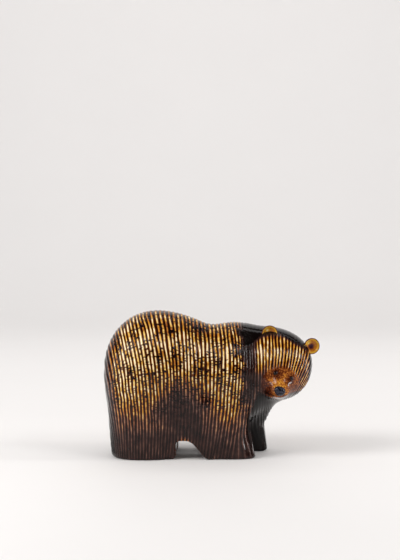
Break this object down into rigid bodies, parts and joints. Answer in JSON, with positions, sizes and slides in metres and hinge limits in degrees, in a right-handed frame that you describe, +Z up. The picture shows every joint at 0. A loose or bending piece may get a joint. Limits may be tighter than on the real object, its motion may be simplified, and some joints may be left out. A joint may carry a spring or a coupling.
{
  "type": "bear figurine",
  "caption": "Standing bear with its head turned to one side, hollow-cast in glazed ceramic, with upright carved fur lines and small cupped ears.",
  "frame": {"origin": "centre of the figure's footprint box, on the ground plane of the feet", "axes": "+X from the rump to the head end, -Y to the side that the face looks to, +Z up"},
  "size_m": [0.1988, 0.0928, 0.1338],
  "materials": {
    "glaze": "gloss"
  },
  "bodies": {
    "root": {"bear": "glaze"}
  },
  "joints": []
}
